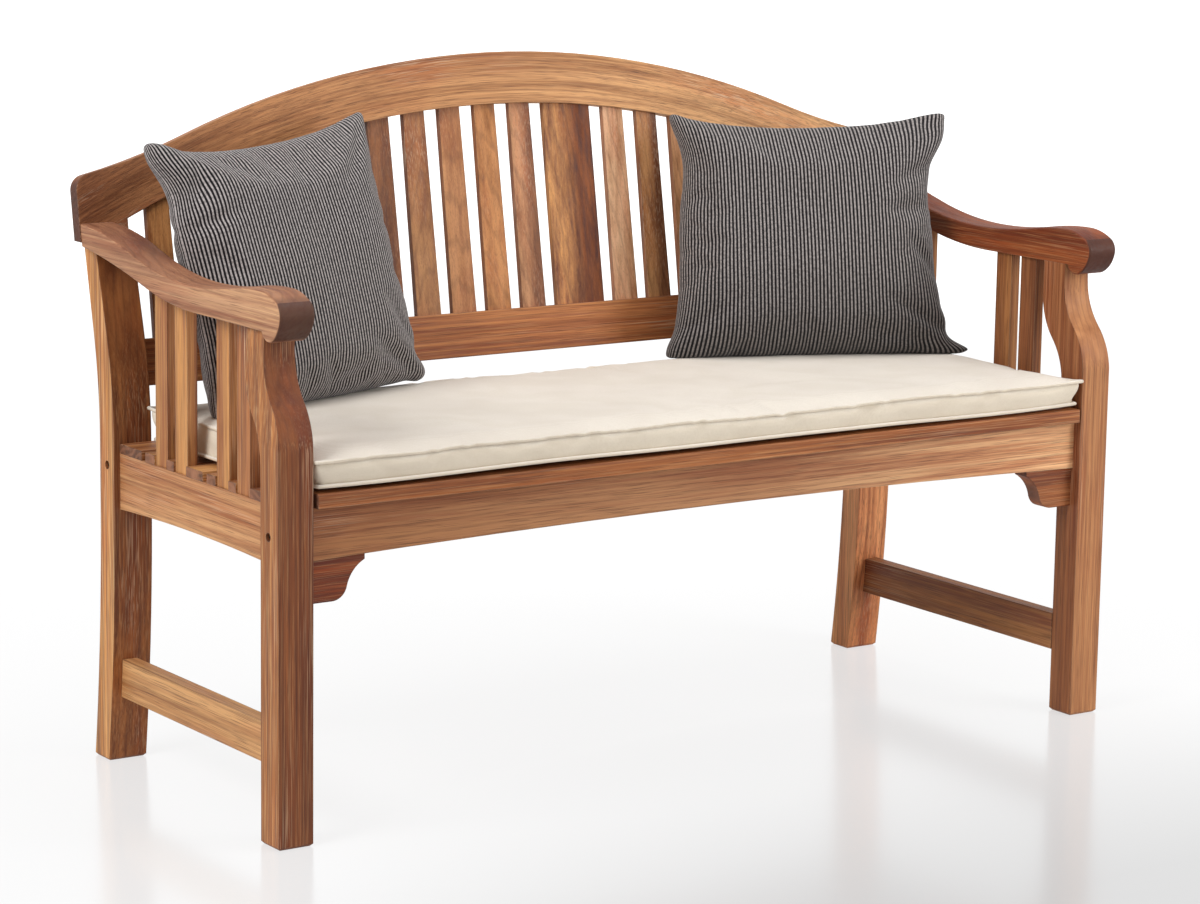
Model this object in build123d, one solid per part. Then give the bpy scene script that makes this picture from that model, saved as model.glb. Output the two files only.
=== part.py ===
from build123d import *
import math
import os

# A two-seat garden bench in hardwood with an arched back, scrolled arms, a loose
# box cushion and two loose throw pillows. X runs along the seat, +Y to the back
# and +Z up. Inside this file Y is counted from the front face of the front legs;
# write_pieces() moves it so that the origin is below the middle of the whole bench.

# Front legs
bench_width = 1260.0
leg_width = 46.0
leg_depth = 42.0
leg_top_taper = 6.0
leg_taper_height = 136.0
ogee_setback = 43.0
ogee_rise = 114.0
front_ogee_top_drop = 26.0
rear_ogee_top_drop = 45.0
foot_chamfer = 3.0

# Back legs
back_leg_inset = 14.0
back_leg_width = 52.0
back_leg_depth = 38.0
seat_depth = 438.0
foot_splay = 21.0
splay_top_z = 330.0
rake_start_z = 410.0
rake_bend_rise = 135.0
post_front_rake_deg = 14.6
post_back_rake_deg = 12.4

# Joints between the boards
joint_gap = 0.2
seat_gap = 0.3
tenon_length = 22.0
side_tenon_length = 12.0
overrun = 60.0
edge_round = 2.0

# Side rails, stretchers, apron and rear seat rail
side_rail_inset = 8.0
side_rail_thickness = 22.0
side_rail_height = 71.0
side_rail_arch = 5.0
side_rail_tenon_thickness = 10.0
side_rail_tenon_margin = 11.0
stretcher_inset = 13.0
stretcher_thickness = 20.0
stretcher_z = 84.0
stretcher_height = 49.0
stretcher_tenon_thickness = 9.0
stretcher_tenon_margin = 8.0
apron_recess = 13.0
apron_thickness = 22.0
apron_height = 64.0
apron_arch = 9.0
apron_tenon_thickness = 9.0
apron_tenon_margin = 10.0
rear_rail_thickness = 22.0
rear_rail_height = 62.0
bearer_thickness = 24.0
bearer_height = 46.0
bearer_tenon_thickness = 10.0
bearer_tenon_length = 9.0
bearer_tenon_height = 26.0

# Corner brackets under the apron
bracket_length = 78.0
bracket_drop = 51.0
bracket_recess = 3.0
bracket_thickness = 23.0
bracket_lip = 5.0
bracket_knee_x = 24.0
bracket_knee_z = 30.0
bracket_toe_x = 34.0

# Seat slats
seat_top_z = 410.0
slat_thickness = 12.0
nosing_thickness = 17.5
nosing_rise = 8.0
nosing_overhang = 3.0
nosing_width = 58.0
nosing_end_gap = 5.0
middle_slat_count = 6
rear_slat_width = 57.7
seat_slat_gap = 10.0

# Arms
arm_underside_z = 606.0
arm_thickness = 31.0
arm_scroll_rise = 46.0
arm_scroll_y = 45.0
arm_brow_y = 5.0
arm_brow_drop = 10.0
arm_nose_overhang = 4.0
arm_nose_drop = 30.0
arm_chin_y = 18.0
arm_chin_drop = 10.5
arm_hook_gap = 2.5
arm_swell_rise = 39.0
arm_shoulder_rise = 52.0
arm_end_rise = 73.0
arm_end_thickness = 27.0
arm_haunch_rise = 16.0
arm_edge_round = 3.0
arm_tenon_thickness = 13.0
arm_tenon_margin = 6.0
arm_tenon_height = 11.0
arm_tenon_drop = 6.0
arm_tenon_length = 13.0
leg_tenon_width = 24.0
leg_tenon_depth = 22.0
leg_tenon_height = 15.0
arm_swell_share = 0.274
arm_belly_share = 0.457
arm_valley_share = 0.491
arm_haunch_share = 0.753
arm_shoulder_share = 0.833

# Arm balusters
baluster_thickness = 14.0
baluster_width = 31.0
baluster_recess = 2.0
baluster_spacing = 50.0
left_pair_shares = (0.184, 0.623)
right_pair_shares = (0.184, 0.822)
baluster_tenon_thickness = 8.0
baluster_tenon_width = 18.0
baluster_tenon_length = 12.0
baluster_clearance = 0.5

# Back panel, with heights counted straight up and widths along X
back_rake_deg = 9.4
back_setback = 29.5
lower_rail_z = 475.0
lower_rail_height = 58.0
lower_rail_thickness = 18.0
lower_rail_tenon_thickness = 8.0
lower_rail_tenon_margin = 12.0
top_rail_thickness = 18.0
rail_overhang = 1.0
rail_shoulder_rise = 50.0
rail_rise = 213.5
rail_end_slope_share = 0.075
rail_end_drop_share = 0.019
rail_bend_x_share = 0.745
rail_end_share = 0.37
rail_bend_share = 0.59
rail_arch_share = 0.684
rail_spring_share = 0.122
rail_corner_share = 0.094
post_tenon_width = 30.0
post_tenon_thickness = 10.0
post_tenon_height = 18.0
back_slat_thickness = 8.0
back_slat_recess = 5.0
back_slat_tenon = 10.0
left_slat_count = 11
right_slat_count = 7
slat_pitch_share = 0.0975
wide_splat_x_share = 0.188
wide_step_share = 1.364
narrow_width_shares = (0.673, 0.582)
wide_width_shares = (1.382, 1.345)

# Bolts and barrel nuts
bolt_radius = 3.0
bolt_head_radius = 5.0
bolt_head_height = 6.0
bolt_hole_depth = 10.0
bolt_reach = 46.0
bolt_tip = 5.0
bolt_clearance = 0.3
barrel_radius = 5.0
barrel_length = 14.0
rear_bolt_drop = 17.0

# Seat cushion
cushion_side_gap = 5.0
cushion_front_y = 1.0
cushion_back_gap = 30.0
cushion_edge_height = 44.7
cushion_crown = 5.0
cushion_shoulder = 45.0
cushion_bulge = 4.0
cushion_undercut = 9.0
cushion_step_run = 17.0
cushion_end_inset = 7.0
cushion_end_run = 9.0
cushion_draw_in = 4.0
cushion_end_drop = 4.0
cushion_station_shares = (0.0, 0.45, 0.82)
cushion_end_crown_share = 0.5

# Throw pillows
pillow_thickness = 118.0
pillow_corner_round = 14.0
pillow_sink = 4.0
pillow_outline_shares = (1.0, 0.95, 0.8, 0.5, 0.2)
pillow_depth_shares = (0.0, 0.4, 0.76, 0.97, 1.0)
left_pillow_size = (381.0, 357.0)
left_pillow_slump = -4.0
left_pillow_draws = (19.0, 19.0, 27.0)
left_pillow_gaps = (20.0, 108.0)
left_pillow_turn_deg = 16.5
left_pillow_lean_deg = 15.0
left_pillow_tilt_deg = -3.3
right_pillow_size = (415.0, 341.0)
right_pillow_slump = 10.0
right_pillow_draws = (19.0, 29.0, 25.0)
right_pillow_gaps = (17.0, 127.0)
right_pillow_turn_deg = -23.6
right_pillow_lean_deg = 13.0
right_pillow_tilt_deg = -0.5

# Places worked out from the sizes above
UP = (0, 1)
pieces = {}
outer_x = bench_width / 2
inner_x = outer_x - leg_width
post_outer_x = outer_x - back_leg_inset
post_inner_x = post_outer_x - back_leg_width
front_ogee_z = arm_underside_z - front_ogee_top_drop - ogee_rise
rear_ogee_z = arm_underside_z - rear_ogee_top_drop - ogee_rise
rail_outer_x = post_outer_x - side_rail_inset
slat_under_z = seat_top_z - slat_thickness
nosing_top_z = seat_top_z + nosing_rise
apron_top_z = nosing_top_z - nosing_thickness
apron_end_z = apron_top_z - apron_height
apron_bolt_z = (apron_end_z + apron_top_z) / 2
rear_bolt_z = slat_under_z - rear_bolt_drop
arm_scroll_z = arm_underside_z + arm_scroll_rise
arm_end_z = arm_underside_z + arm_end_rise
back_slope = math.radians(back_rake_deg)
back_front_y = seat_depth + back_setback
rail_shoulder_z = arm_underside_z + rail_shoulder_rise
rail_crown_z = rail_shoulder_z + rail_rise
rail_end_z = rail_shoulder_z + rail_rise * rail_end_share
rail_bend_z = rail_shoulder_z + rail_rise * rail_bend_share
rail_arch_z = rail_shoulder_z + rail_rise * rail_arch_share
rail_spring_z = rail_shoulder_z + rail_rise * rail_spring_share
rail_end_x = outer_x + rail_overhang
rail_bend_x = rail_end_x * rail_bend_x_share
cushion_depth = seat_depth - cushion_front_y - cushion_back_gap
cushion_edge_z = seat_top_z + seat_gap + cushion_edge_height
cushion_top_z = cushion_edge_z + cushion_crown
back_plane = Plane(
    origin=(0, back_front_y, lower_rail_z + lower_rail_height / 2),
    x_dir=(1, 0, 0),
    z_dir=(0, -math.cos(back_slope), math.sin(back_slope)),
)


def slope_height(height):
    """Distance up the raked back panel that reaches a height above the floor."""
    return (height - back_plane.origin.Z) / math.cos(back_slope)


def rail_front_y(height):
    """Y of the raked panel's front face at a height above the floor."""
    return back_front_y + slope_height(height) * math.sin(back_slope)


def block(x, y, z):
    """Box between low and high values on each axis."""
    size = Box(x[1] - x[0], y[1] - y[0], z[1] - z[0])
    return Pos(sum(x) / 2, sum(y) / 2, sum(z) / 2) * size


def grown(span, gap):
    return (span[0] - gap, span[1] + gap)


def pocket(x, y, z):
    """Mortise for a tenon of the same three spans, with its clearance all round."""
    return block(grown(x, joint_gap), grown(y, joint_gap), grown(z, joint_gap))


def centred(middle, size):
    return (middle - size / 2, middle + size / 2)


def closed_face(*curves):
    return make_face(Curve() + list(curves))


def side_board(face, x_low, x_high):
    """Board cut to an outline drawn in Y and Z, between two places along X."""
    return extrude(Plane.YZ.offset(x_low) * face, amount=x_high - x_low)


def front_board(face, y_front, thickness):
    """Board cut to an outline drawn in X and Z, its front face at y_front."""
    return extrude(Plane.XZ.offset(-y_front) * face, amount=-thickness)


def mirrored(shape):
    return mirror(shape, about=Plane.YZ)


def save(name, shape):
    pieces[name] = shape


def save_pair(name, right_shape):
    save(f"right_{name}", right_shape)
    save(f"left_{name}", mirrored(right_shape))


# Tenons of the right-hand joints, each as spans in X, Y and Z
side_rail_x = (rail_outer_x - side_rail_thickness, rail_outer_x)
side_rail_z = (slat_under_z - side_rail_height, slat_under_z)
stretcher_x = (
    post_outer_x - stretcher_inset - stretcher_thickness,
    post_outer_x - stretcher_inset,
)
stretcher_z_span = (stretcher_z, stretcher_z + stretcher_height)
apron_y = (apron_recess, apron_recess + apron_thickness)
rear_rail_y = centred(seat_depth + back_leg_depth / 2, rear_rail_thickness)
rear_rail_z = (slat_under_z - rear_rail_height, slat_under_z)
side_tenon_x = centred(sum(side_rail_x) / 2, side_rail_tenon_thickness)
side_tenon_z = grown(side_rail_z, -side_rail_tenon_margin)
stretcher_tenon_x = centred(sum(stretcher_x) / 2, stretcher_tenon_thickness)
stretcher_tenon_z = grown(stretcher_z_span, -stretcher_tenon_margin)
front_tenon_y = (leg_depth - side_tenon_length, leg_depth)
side_rear_tenon_y = (seat_depth, seat_depth + side_tenon_length)
stretcher_rear_y = seat_depth + foot_splay
stretcher_rear_tenon_y = (seat_depth, seat_depth + foot_splay + side_tenon_length)
apron_tenon = (
    (inner_x, inner_x + tenon_length),
    centred(sum(apron_y) / 2, apron_tenon_thickness),
    (apron_end_z + apron_tenon_margin, apron_top_z - apron_tenon_margin),
)
rear_rail_tenon = (
    (post_inner_x, post_inner_x + tenon_length),
    centred(sum(rear_rail_y) / 2, apron_tenon_thickness),
    grown(rear_rail_z, -apron_tenon_margin),
)
lower_rail_middle_z = lower_rail_z + lower_rail_height / 2
lower_rail_middle_y = back_front_y + lower_rail_thickness / 2
lower_rail_tenon = (
    (post_inner_x, post_inner_x + tenon_length),
    centred(lower_rail_middle_y, lower_rail_tenon_thickness),
    centred(lower_rail_middle_z, lower_rail_height - 2 * lower_rail_tenon_margin),
)
arm_x = (inner_x, outer_x)
leg_top_x = (inner_x, outer_x - leg_top_taper)
leg_top_y = (ogee_setback, ogee_setback + leg_depth)
leg_tenon = (
    centred(sum(leg_top_x) / 2, leg_tenon_width),
    centred(sum(leg_top_y) / 2, leg_tenon_depth),
    (arm_underside_z, arm_underside_z + leg_tenon_height),
)
post_tenon = (
    centred((post_inner_x + post_outer_x) / 2, post_tenon_width),
    centred(rail_front_y(rail_shoulder_z) + top_rail_thickness / 2, post_tenon_thickness),
    (rail_shoulder_z, rail_shoulder_z + post_tenon_height),
)
arm_tenon_z = (arm_end_z - arm_tenon_drop - arm_tenon_height, arm_end_z - arm_tenon_drop)
arm_tenon = (
    (outer_x - arm_tenon_margin - arm_tenon_thickness, outer_x - arm_tenon_margin),
    centred(rail_front_y(arm_tenon_z[0]), 2 * arm_tenon_length),
    arm_tenon_z,
)
bearer_x = centred(0, bearer_thickness)
bearer_z = (slat_under_z - bearer_height, slat_under_z)
bearer_tenon_x = centred(0, bearer_tenon_thickness)
bearer_tenon_z = centred(sum(bearer_z) / 2, bearer_tenon_height)
bearer_tenon_y = (apron_y[1] - bearer_tenon_length, rear_rail_y[0] + bearer_tenon_length)

# Places of the seat slats along Y, and of the uprights under the arms
nosing_y = (-nosing_overhang, nosing_width - nosing_overhang)
nosing_end_x = inner_x - nosing_end_gap
rear_slat_y = (seat_depth - seat_gap - rear_slat_width, seat_depth - seat_gap)
middle_slat_pitch = (rear_slat_y[0] - nosing_y[1] - seat_slat_gap) / middle_slat_count
middle_slat_starts = [nosing_y[1] + seat_slat_gap + i * middle_slat_pitch for i in range(middle_slat_count)]
slat_spans = [(low, low + middle_slat_pitch - seat_slat_gap) for low in middle_slat_starts] + [rear_slat_y]
baluster_span = (leg_top_y[1], seat_depth)
baluster_x = (
    rail_outer_x - baluster_recess - baluster_thickness,
    rail_outer_x - baluster_recess,
)


def baluster_places(pair_shares):
    """Places along Y of one arm's two pairs of uprights."""
    low, high = baluster_span
    middles = [low + (high - low) * share for share in pair_shares]
    return [y for middle in middles for y in centred(middle, baluster_spacing)]


left_balusters = baluster_places(left_pair_shares)
right_balusters = baluster_places(right_pair_shares)


def ogee(bottom, top):
    """S-curve of two tangent arcs that leaves and ends upright."""
    middle = ((bottom[0] + top[0]) / 2, (bottom[1] + top[1]) / 2)
    low = TangentArc(bottom, middle, tangent=UP)
    return [low, TangentArc(middle, top, tangent=low % 1)]


def tangent_run(start, direction, *points):
    """Chain of arcs through the points, each leaving where the last one points."""
    run = [TangentArc(start, points[0], tangent=direction)]
    for point in points[1:]:
        run.append(TangentArc(run[-1] @ 1, point, tangent=run[-1] % 1))
    return run


def post_edge(face_y, rake_deg, top_z, gap):
    """One edge of the back leg, from its splayed foot to its raked top."""
    rake = math.radians(rake_deg)
    bend_radius = rake_bend_rise / math.sin(rake)
    bend_end = (
        face_y + bend_radius * (1 - math.cos(rake)) - gap,
        rake_start_z + rake_bend_rise,
    )
    run_up = top_z - bend_end[1]
    top = (bend_end[0] + run_up * math.tan(rake), top_z)
    splay = TangentArc(
        (face_y - gap, splay_top_z),
        (face_y + foot_splay - gap, 0),
        tangent=(0, -1),
    )
    bend = TangentArc((face_y - gap, rake_start_z), bend_end, tangent=UP)
    return [splay, Line(splay @ 0, bend @ 0), bend, Line(bend @ 1, top)], top


def post_face(top_z, gap=0.0):
    """Outline of the back leg, let out by a gap at its front edge."""
    front, front_top = post_edge(seat_depth, post_front_rake_deg, top_z, gap)
    back, back_top = post_edge(seat_depth + back_leg_depth, post_back_rake_deg, top_z, 0)
    foot = Line(front[0] @ 1, back[0] @ 1)
    return closed_face(*front, *back, foot, Line(front_top, back_top))


def chamfered_foot(leg):
    foot = leg.faces().sort_by(Axis.Z)[0]
    return chamfer(foot.edges(), length=foot_chamfer)


def bolt_hole(face_x, inner_face_x, y, z):
    """Counterbore in a leg's outer face and the bolt's hole through the leg."""
    mouth = Cylinder(bolt_head_radius + bolt_clearance, 2 * bolt_hole_depth)
    shank = Cylinder(bolt_radius + bolt_clearance, overrun)
    shank_middle = (face_x + inner_face_x) / 2
    across = Rot(0, 90, 0)
    return Pos(face_x, y, z) * across * mouth + Pos(shank_middle, y, z) * across * shank


def front_leg():
    """Right front leg, with an ogee that sets the arm back above the seat."""
    front = ogee((0, front_ogee_z), (ogee_setback, front_ogee_z + ogee_rise))
    rear_top = ogee_setback + leg_depth
    back = ogee((leg_depth, rear_ogee_z), (rear_top, rear_ogee_z + ogee_rise))
    top = Polyline(
        front[1] @ 1, (ogee_setback, arm_underside_z), (rear_top, arm_underside_z), back[1] @ 1
    )
    face = closed_face(
        Line((0, 0), front[0] @ 0),
        *front,
        top,
        *back,
        Polyline(back[0] @ 0, (leg_depth, 0), (0, 0)),
    )
    width = Polyline(
        (inner_x, 0),
        (outer_x, 0),
        (outer_x, arm_underside_z - leg_taper_height),
        (outer_x - leg_top_taper, arm_underside_z),
        (inner_x, arm_underside_z),
        (inner_x, 0),
    )
    leg = side_board(face, inner_x, outer_x)
    leg = leg & front_board(make_face(width), -overrun, 2 * overrun + rear_top)
    leg = chamfered_foot(leg)
    leg = leg + block(*leg_tenon)
    leg = leg - pocket(side_tenon_x, front_tenon_y, side_tenon_z)
    leg = leg - pocket(stretcher_tenon_x, front_tenon_y, stretcher_tenon_z)
    leg = leg - pocket(*apron_tenon)
    return leg - bolt_hole(outer_x, inner_x, sum(apron_y) / 2, apron_bolt_z)


def back_leg():
    """Right back leg: splayed foot, upright at the seat, raked above it."""
    leg = side_board(post_face(rail_shoulder_z), post_inner_x, post_outer_x)
    leg = chamfered_foot(leg)
    leg = leg + block(*post_tenon)
    leg = leg - pocket(side_tenon_x, side_rear_tenon_y, side_tenon_z)
    leg = leg - pocket(stretcher_tenon_x, stretcher_rear_tenon_y, stretcher_tenon_z)
    leg = leg - pocket(*rear_rail_tenon)
    leg = leg - pocket(*lower_rail_tenon)
    return leg - bolt_hole(post_outer_x, post_inner_x, sum(rear_rail_y) / 2, rear_bolt_z)


def side_rail(upright_places):
    """Side rail of the right side, its lower edge lightly arched, between the two legs."""
    low, high = side_rail_z
    arch = ThreePointArc(
        (leg_depth, low),
        ((leg_depth + seat_depth) / 2, low + side_rail_arch),
        (seat_depth, low),
    )
    top = Polyline((seat_depth, low), (seat_depth, high), (leg_depth, high), (leg_depth, low))
    rail = side_board(closed_face(arch, top), *side_rail_x)
    rail = rail + block(side_tenon_x, (front_tenon_y[0], side_rear_tenon_y[1]), side_tenon_z)
    for y in upright_places:
        rail = rail - pocket(*baluster_foot(y))
    return rail


def stretcher():
    """Right stretcher, low down between the legs, seated on the curved back leg."""
    board = block(stretcher_x, (leg_depth, stretcher_rear_y), stretcher_z_span)
    board = board - side_board(post_face(rail_shoulder_z, seat_gap), *grown(stretcher_x, overrun))
    tenon_y = (front_tenon_y[0], stretcher_rear_tenon_y[1])
    return board + block(stretcher_tenon_x, tenon_y, stretcher_tenon_z)


def apron_face(drop=0.0):
    """Front apron's outline in X and Z; drop lets its arch down by a gap."""
    ends = apron_end_z - drop
    arch = ThreePointArc((-inner_x, ends), (0, ends + apron_arch), (inner_x, ends))
    top = Polyline(
        (inner_x, ends), (inner_x, apron_top_z), (-inner_x, apron_top_z), (-inner_x, ends)
    )
    return closed_face(arch, top)


def front_apron():
    """Front apron with an arched lower edge, tenoned and bolted to the legs."""
    x, y, z = apron_tenon
    apron = front_board(apron_face(), apron_y[0], apron_thickness)
    apron = apron + block((-x[1], x[1]), y, z)
    apron = apron - pocket(bearer_tenon_x, bearer_tenon_y, bearer_tenon_z)
    for side in (-1, 1):
        apron = apron - rail_bolt_cut(side, inner_x, apron_y, apron_bolt_z)
    return apron


def rear_seat_rail():
    """Rail behind the seat slats, tenoned and bolted to the back legs."""
    x, y, z = rear_rail_tenon
    rail = block((-post_inner_x, post_inner_x), rear_rail_y, rear_rail_z)
    rail = rail + block((-x[1], x[1]), y, z)
    rail = rail - pocket(bearer_tenon_x, bearer_tenon_y, bearer_tenon_z)
    for side in (-1, 1):
        rail = rail - rail_bolt_cut(side, post_inner_x, rear_rail_y, rear_bolt_z)
    return rail


def seat_bearer():
    """Bearer under the middle of the slats, tenoned into apron and rear rail."""
    bearer = block(bearer_x, (apron_y[1], rear_rail_y[0]), bearer_z)
    return bearer + block(bearer_tenon_x, bearer_tenon_y, bearer_tenon_z)


def bracket():
    """Right corner bracket, an ogee cut below the apron against the leg."""
    foot_z = apron_end_z - bracket_drop
    tip_x = inner_x - bracket_length
    tip_z = apron_end_z - bracket_lip
    knee = (tip_x + bracket_knee_x, tip_z - bracket_knee_z)
    curve = tangent_run((inner_x - bracket_toe_x, foot_z), (-1, 0), knee)
    neck = TangentArc(curve[0] @ 1, (tip_x, tip_z), tangent=curve[0] % 1)
    outline = Polyline(
        (tip_x, tip_z),
        (tip_x, apron_top_z),
        (inner_x, apron_top_z),
        (inner_x, foot_z),
        (inner_x - bracket_toe_x, foot_z),
    )
    y_front = apron_recess + bracket_recess
    solid = front_board(closed_face(*curve, neck, outline), y_front, bracket_thickness)
    return solid - front_board(apron_face(seat_gap), y_front - overrun, 2 * overrun)


# Bolts run along X through each leg into the rail that meets it
def rail_bolt_cut(side, shoulder_x, rail_y, z):
    """Bolt hole in the end of a rail, and the barrel nut's hole from behind."""
    middle_y = sum(rail_y) / 2
    length = tenon_length + bolt_reach + bolt_tip
    shank = Cylinder(bolt_radius + bolt_clearance, length + bolt_clearance)
    shank_x = shoulder_x + tenon_length - length / 2
    barrel_depth = rail_y[1] - middle_y + barrel_length / 2 + bolt_clearance
    barrel = Cylinder(barrel_radius + bolt_clearance, 2 * barrel_depth)
    cut = Pos(shank_x, middle_y, z) * Rot(0, 90, 0) * shank
    cut = cut + Pos(shoulder_x - bolt_reach, rail_y[1], z) * Rot(90, 0, 0) * barrel
    return cut if side > 0 else mirrored(cut)


def bolt(outer_face_x, shoulder_x, y, z):
    """Socket-head bolt, sunk in the leg, its tip just past the barrel nut."""
    head_x = outer_face_x - bolt_hole_depth + bolt_head_height / 2
    tip_x = shoulder_x - bolt_reach - bolt_tip
    shank_end_x = outer_face_x - bolt_hole_depth
    shank = Cylinder(bolt_radius, shank_end_x - tip_x)
    across = Rot(0, 90, 0)
    head = Pos(head_x, y, z) * across * Cylinder(bolt_head_radius, bolt_head_height)
    socket = Cylinder(bolt_radius, bolt_head_height)
    socket_x = head_x + bolt_head_height / 2
    solid = head + Pos((shank_end_x + tip_x) / 2, y, z) * across * shank
    return solid - Pos(socket_x, y, z) * across * socket


def barrel_nut(shoulder_x, rail_y, z):
    """Cross dowel that the bolt screws into, in its hole behind the rail."""
    place = Pos(shoulder_x - bolt_reach, sum(rail_y) / 2, z)
    nut = Rot(90, 0, 0) * Cylinder(barrel_radius, barrel_length)
    thread = Rot(0, 90, 0) * Cylinder(bolt_radius + bolt_clearance, overrun)
    return place * (nut - thread)


def baluster_foot(y):
    x_span = centred(sum(baluster_x) / 2, baluster_tenon_thickness)
    z_span = (slat_under_z - baluster_tenon_length, slat_under_z)
    return x_span, centred(y, baluster_tenon_width), z_span


# Seat slats, from the nosing at the front to the wide slat at the back
def rounded_slat(x, y, z):
    slat = block(x, y, z)
    top_edges = slat.faces().sort_by(Axis.Z)[-1].edges().filter_by(Axis.X)
    return fillet(top_edges, radius=edge_round)


def seat_slat(span):
    """Slat across both side rails, notched at its ends round the balusters."""
    slat = rounded_slat((-rail_outer_x, rail_outer_x), span, (slat_under_z, seat_top_z))
    right_x = (baluster_x[0] - baluster_clearance, rail_outer_x + overrun)
    left_x = (-right_x[1], -right_x[0])
    for x_span, places in ((left_x, left_balusters), (right_x, right_balusters)):
        for y in places:
            reach = grown(centred(y, baluster_width), baluster_clearance)
            if reach[0] < span[1] and reach[1] > span[0]:
                slat = slat - block(x_span, reach, grown((slat_under_z, seat_top_z), overrun))
    return slat


def seat_nosing():
    """Thicker front slat between the legs, lying on the apron."""
    return rounded_slat((-nosing_end_x, nosing_end_x), nosing_y, (apron_top_z, nosing_top_z))


# Arms
def arm_face():
    """Outline of an arm in Y and Z: scroll, dip, and rise to the back leg."""
    end_y = rail_front_y(arm_end_z) + overrun
    top = tangent_run(
        (rail_front_y(arm_end_z), arm_end_z),
        (-1, -arm_end_thickness / (2 * seat_depth)),
        (seat_depth * arm_shoulder_share, arm_underside_z + arm_shoulder_rise),
        (seat_depth * arm_valley_share, arm_underside_z + arm_thickness),
        (seat_depth * arm_swell_share, arm_underside_z + arm_swell_rise),
    )
    crest = TangentArc((arm_scroll_y, arm_scroll_z), top[-1] @ 1, tangent=(1, 0))
    nose = tangent_run(
        (arm_scroll_y, arm_scroll_z),
        (-1, 0),
        (arm_brow_y, arm_scroll_z - arm_brow_drop),
        (-arm_nose_overhang, arm_scroll_z - arm_nose_drop),
        (arm_chin_y, arm_underside_z - arm_chin_drop),
        (ogee_setback - arm_hook_gap, arm_underside_z),
    )
    belly = tangent_run(
        (seat_depth * arm_belly_share, arm_underside_z),
        (1, 0),
        (seat_depth * arm_haunch_share, arm_underside_z + arm_haunch_rise),
        (rail_front_y(arm_end_z), arm_end_z - arm_end_thickness),
    )
    back = Polyline(
        belly[-1] @ 1,
        (end_y, arm_end_z - arm_end_thickness),
        (end_y, arm_end_z),
        top[0] @ 0,
    )
    level = Line(nose[-1] @ 1, belly[0] @ 0)
    return closed_face(*top, crest, *nose, level, *belly, back)


def arm_blank(gap=0.0):
    face = Pos(0, -gap) * arm_face()
    return side_board(face, *arm_x)


def arm(upright_places):
    """Arm of the right side, scrolled over the front leg and notched round the back leg."""
    solid = arm_blank()
    solid = fillet(
        solid.edges().filter_by(lambda edge: is_arm_top_edge(edge)), radius=arm_edge_round
    )
    panel = back_plane.offset(seat_gap) * Rectangle(2 * bench_width, 2 * bench_width)
    solid = solid - extrude(panel, amount=-bench_width)
    post = post_face(rail_shoulder_z + seat_gap, seat_gap)
    solid = solid - side_board(post, post_inner_x, post_outer_x + seat_gap)
    solid = solid + block(*arm_tenon)
    solid = solid - pocket(*leg_tenon)
    for y in upright_places:
        solid = solid - pocket(*baluster_head(y))
    return solid


def is_arm_top_edge(edge):
    """True for the edges along the arm's upper surface, from scroll to back leg."""
    box = edge.bounding_box()
    flat = box.size.X < joint_gap
    above = box.min.Z > arm_underside_z + arm_thickness - 2 * arm_edge_round
    return flat and above and box.max.Y < rail_front_y(arm_end_z) + joint_gap


def belly_height(y):
    """Height of the arm's underside at a place along it."""
    probe = arm_blank() & block(arm_x, grown((y, y), joint_gap / 2), (0, rail_crown_z))
    return probe.bounding_box().min.Z


def baluster_head(y):
    x_span = centred(sum(baluster_x) / 2, baluster_tenon_thickness)
    z_span = (arm_underside_z - baluster_tenon_length, belly_height(y) + baluster_tenon_length)
    return x_span, centred(y, baluster_tenon_width), z_span


def baluster(y):
    """Flat upright under an arm, tenoned into the arm and the side rail."""
    upright = block(baluster_x, centred(y, baluster_width), (slat_under_z, arm_end_z))
    upright = upright - arm_blank(seat_gap)
    below_arm = (0, belly_height(y + baluster_width))
    upright = upright & block(grown(baluster_x, overrun), (0, seat_depth), below_arm)
    return upright + block(*baluster_foot(y)) + block(*baluster_head(y))


# Back panel, drawn on the raked plane
def panel_board(face, depth, thickness):
    """Board on the raked plane, its front face set back by depth."""
    return extrude(back_plane.offset(-depth) * face, amount=-thickness)


def arch_height(x):
    """Distance up the panel of the top rail's arched underside at x."""
    spring = slope_height(rail_spring_z)
    crown = slope_height(rail_arch_z)
    rise = crown - spring
    radius = (post_inner_x ** 2 + rise ** 2) / (2 * rise)
    return crown - radius + math.sqrt(radius ** 2 - x ** 2)


def top_rail_face():
    """Camelback outline of the top rail with its two dropped end blocks."""
    crown = (0, slope_height(rail_crown_z))
    bend = (rail_bend_x, slope_height(rail_bend_z))
    slope_x = rail_end_x - rail_rise * rail_end_slope_share
    shoulder = (slope_x, slope_height(rail_end_z + rail_rise * rail_end_drop_share))
    end_top = (rail_end_x, slope_height(rail_end_z))
    foot_v = slope_height(rail_shoulder_z) - top_rail_thickness
    spring_v = slope_height(rail_spring_z)
    middle = ThreePointArc((-bend[0], bend[1]), crown, bend)
    sweep_out = TangentArc(bend, shoulder, tangent=middle % 1)
    arch = ThreePointArc(
        (-post_inner_x, spring_v), (0, slope_height(rail_arch_z)), (post_inner_x, spring_v)
    )
    right_end = Polyline(
        shoulder, end_top, (rail_end_x, foot_v), (post_inner_x, foot_v), (post_inner_x, spring_v)
    )
    left_sweep = mirror(sweep_out, about=Plane.YZ)
    left_end = mirror(right_end, about=Plane.YZ)
    return closed_face(middle, sweep_out, right_end, arch, left_end, left_sweep)


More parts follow.
